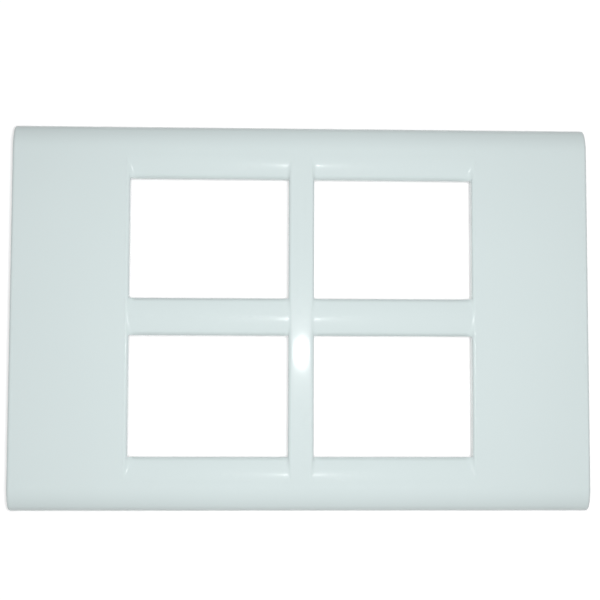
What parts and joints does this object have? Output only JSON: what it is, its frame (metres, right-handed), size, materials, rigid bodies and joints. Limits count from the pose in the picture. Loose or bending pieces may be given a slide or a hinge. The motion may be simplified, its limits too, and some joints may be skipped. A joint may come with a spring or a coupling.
{
  "type": "modular cover plate",
  "caption": "Wide rectangular cover plate with a grid of windows for modular wiring inserts, long edges rolled back towards the wall and a hollow back with snap hooks.",
  "frame": {"origin": "middle of the back rim's plane, on which the plate rests", "axes": "+X along the width (the long side), +Y up the plate as it hangs on a wall, +Z out of the front"},
  "size_m": [0.222, 0.148, 0.01],
  "materials": {
    "plate_plastic": "smooth glossy white moulding with a faint cool cast"
  },
  "bodies": {
    "root": {"cover_plate": "plate_plastic"}
  },
  "joints": []
}
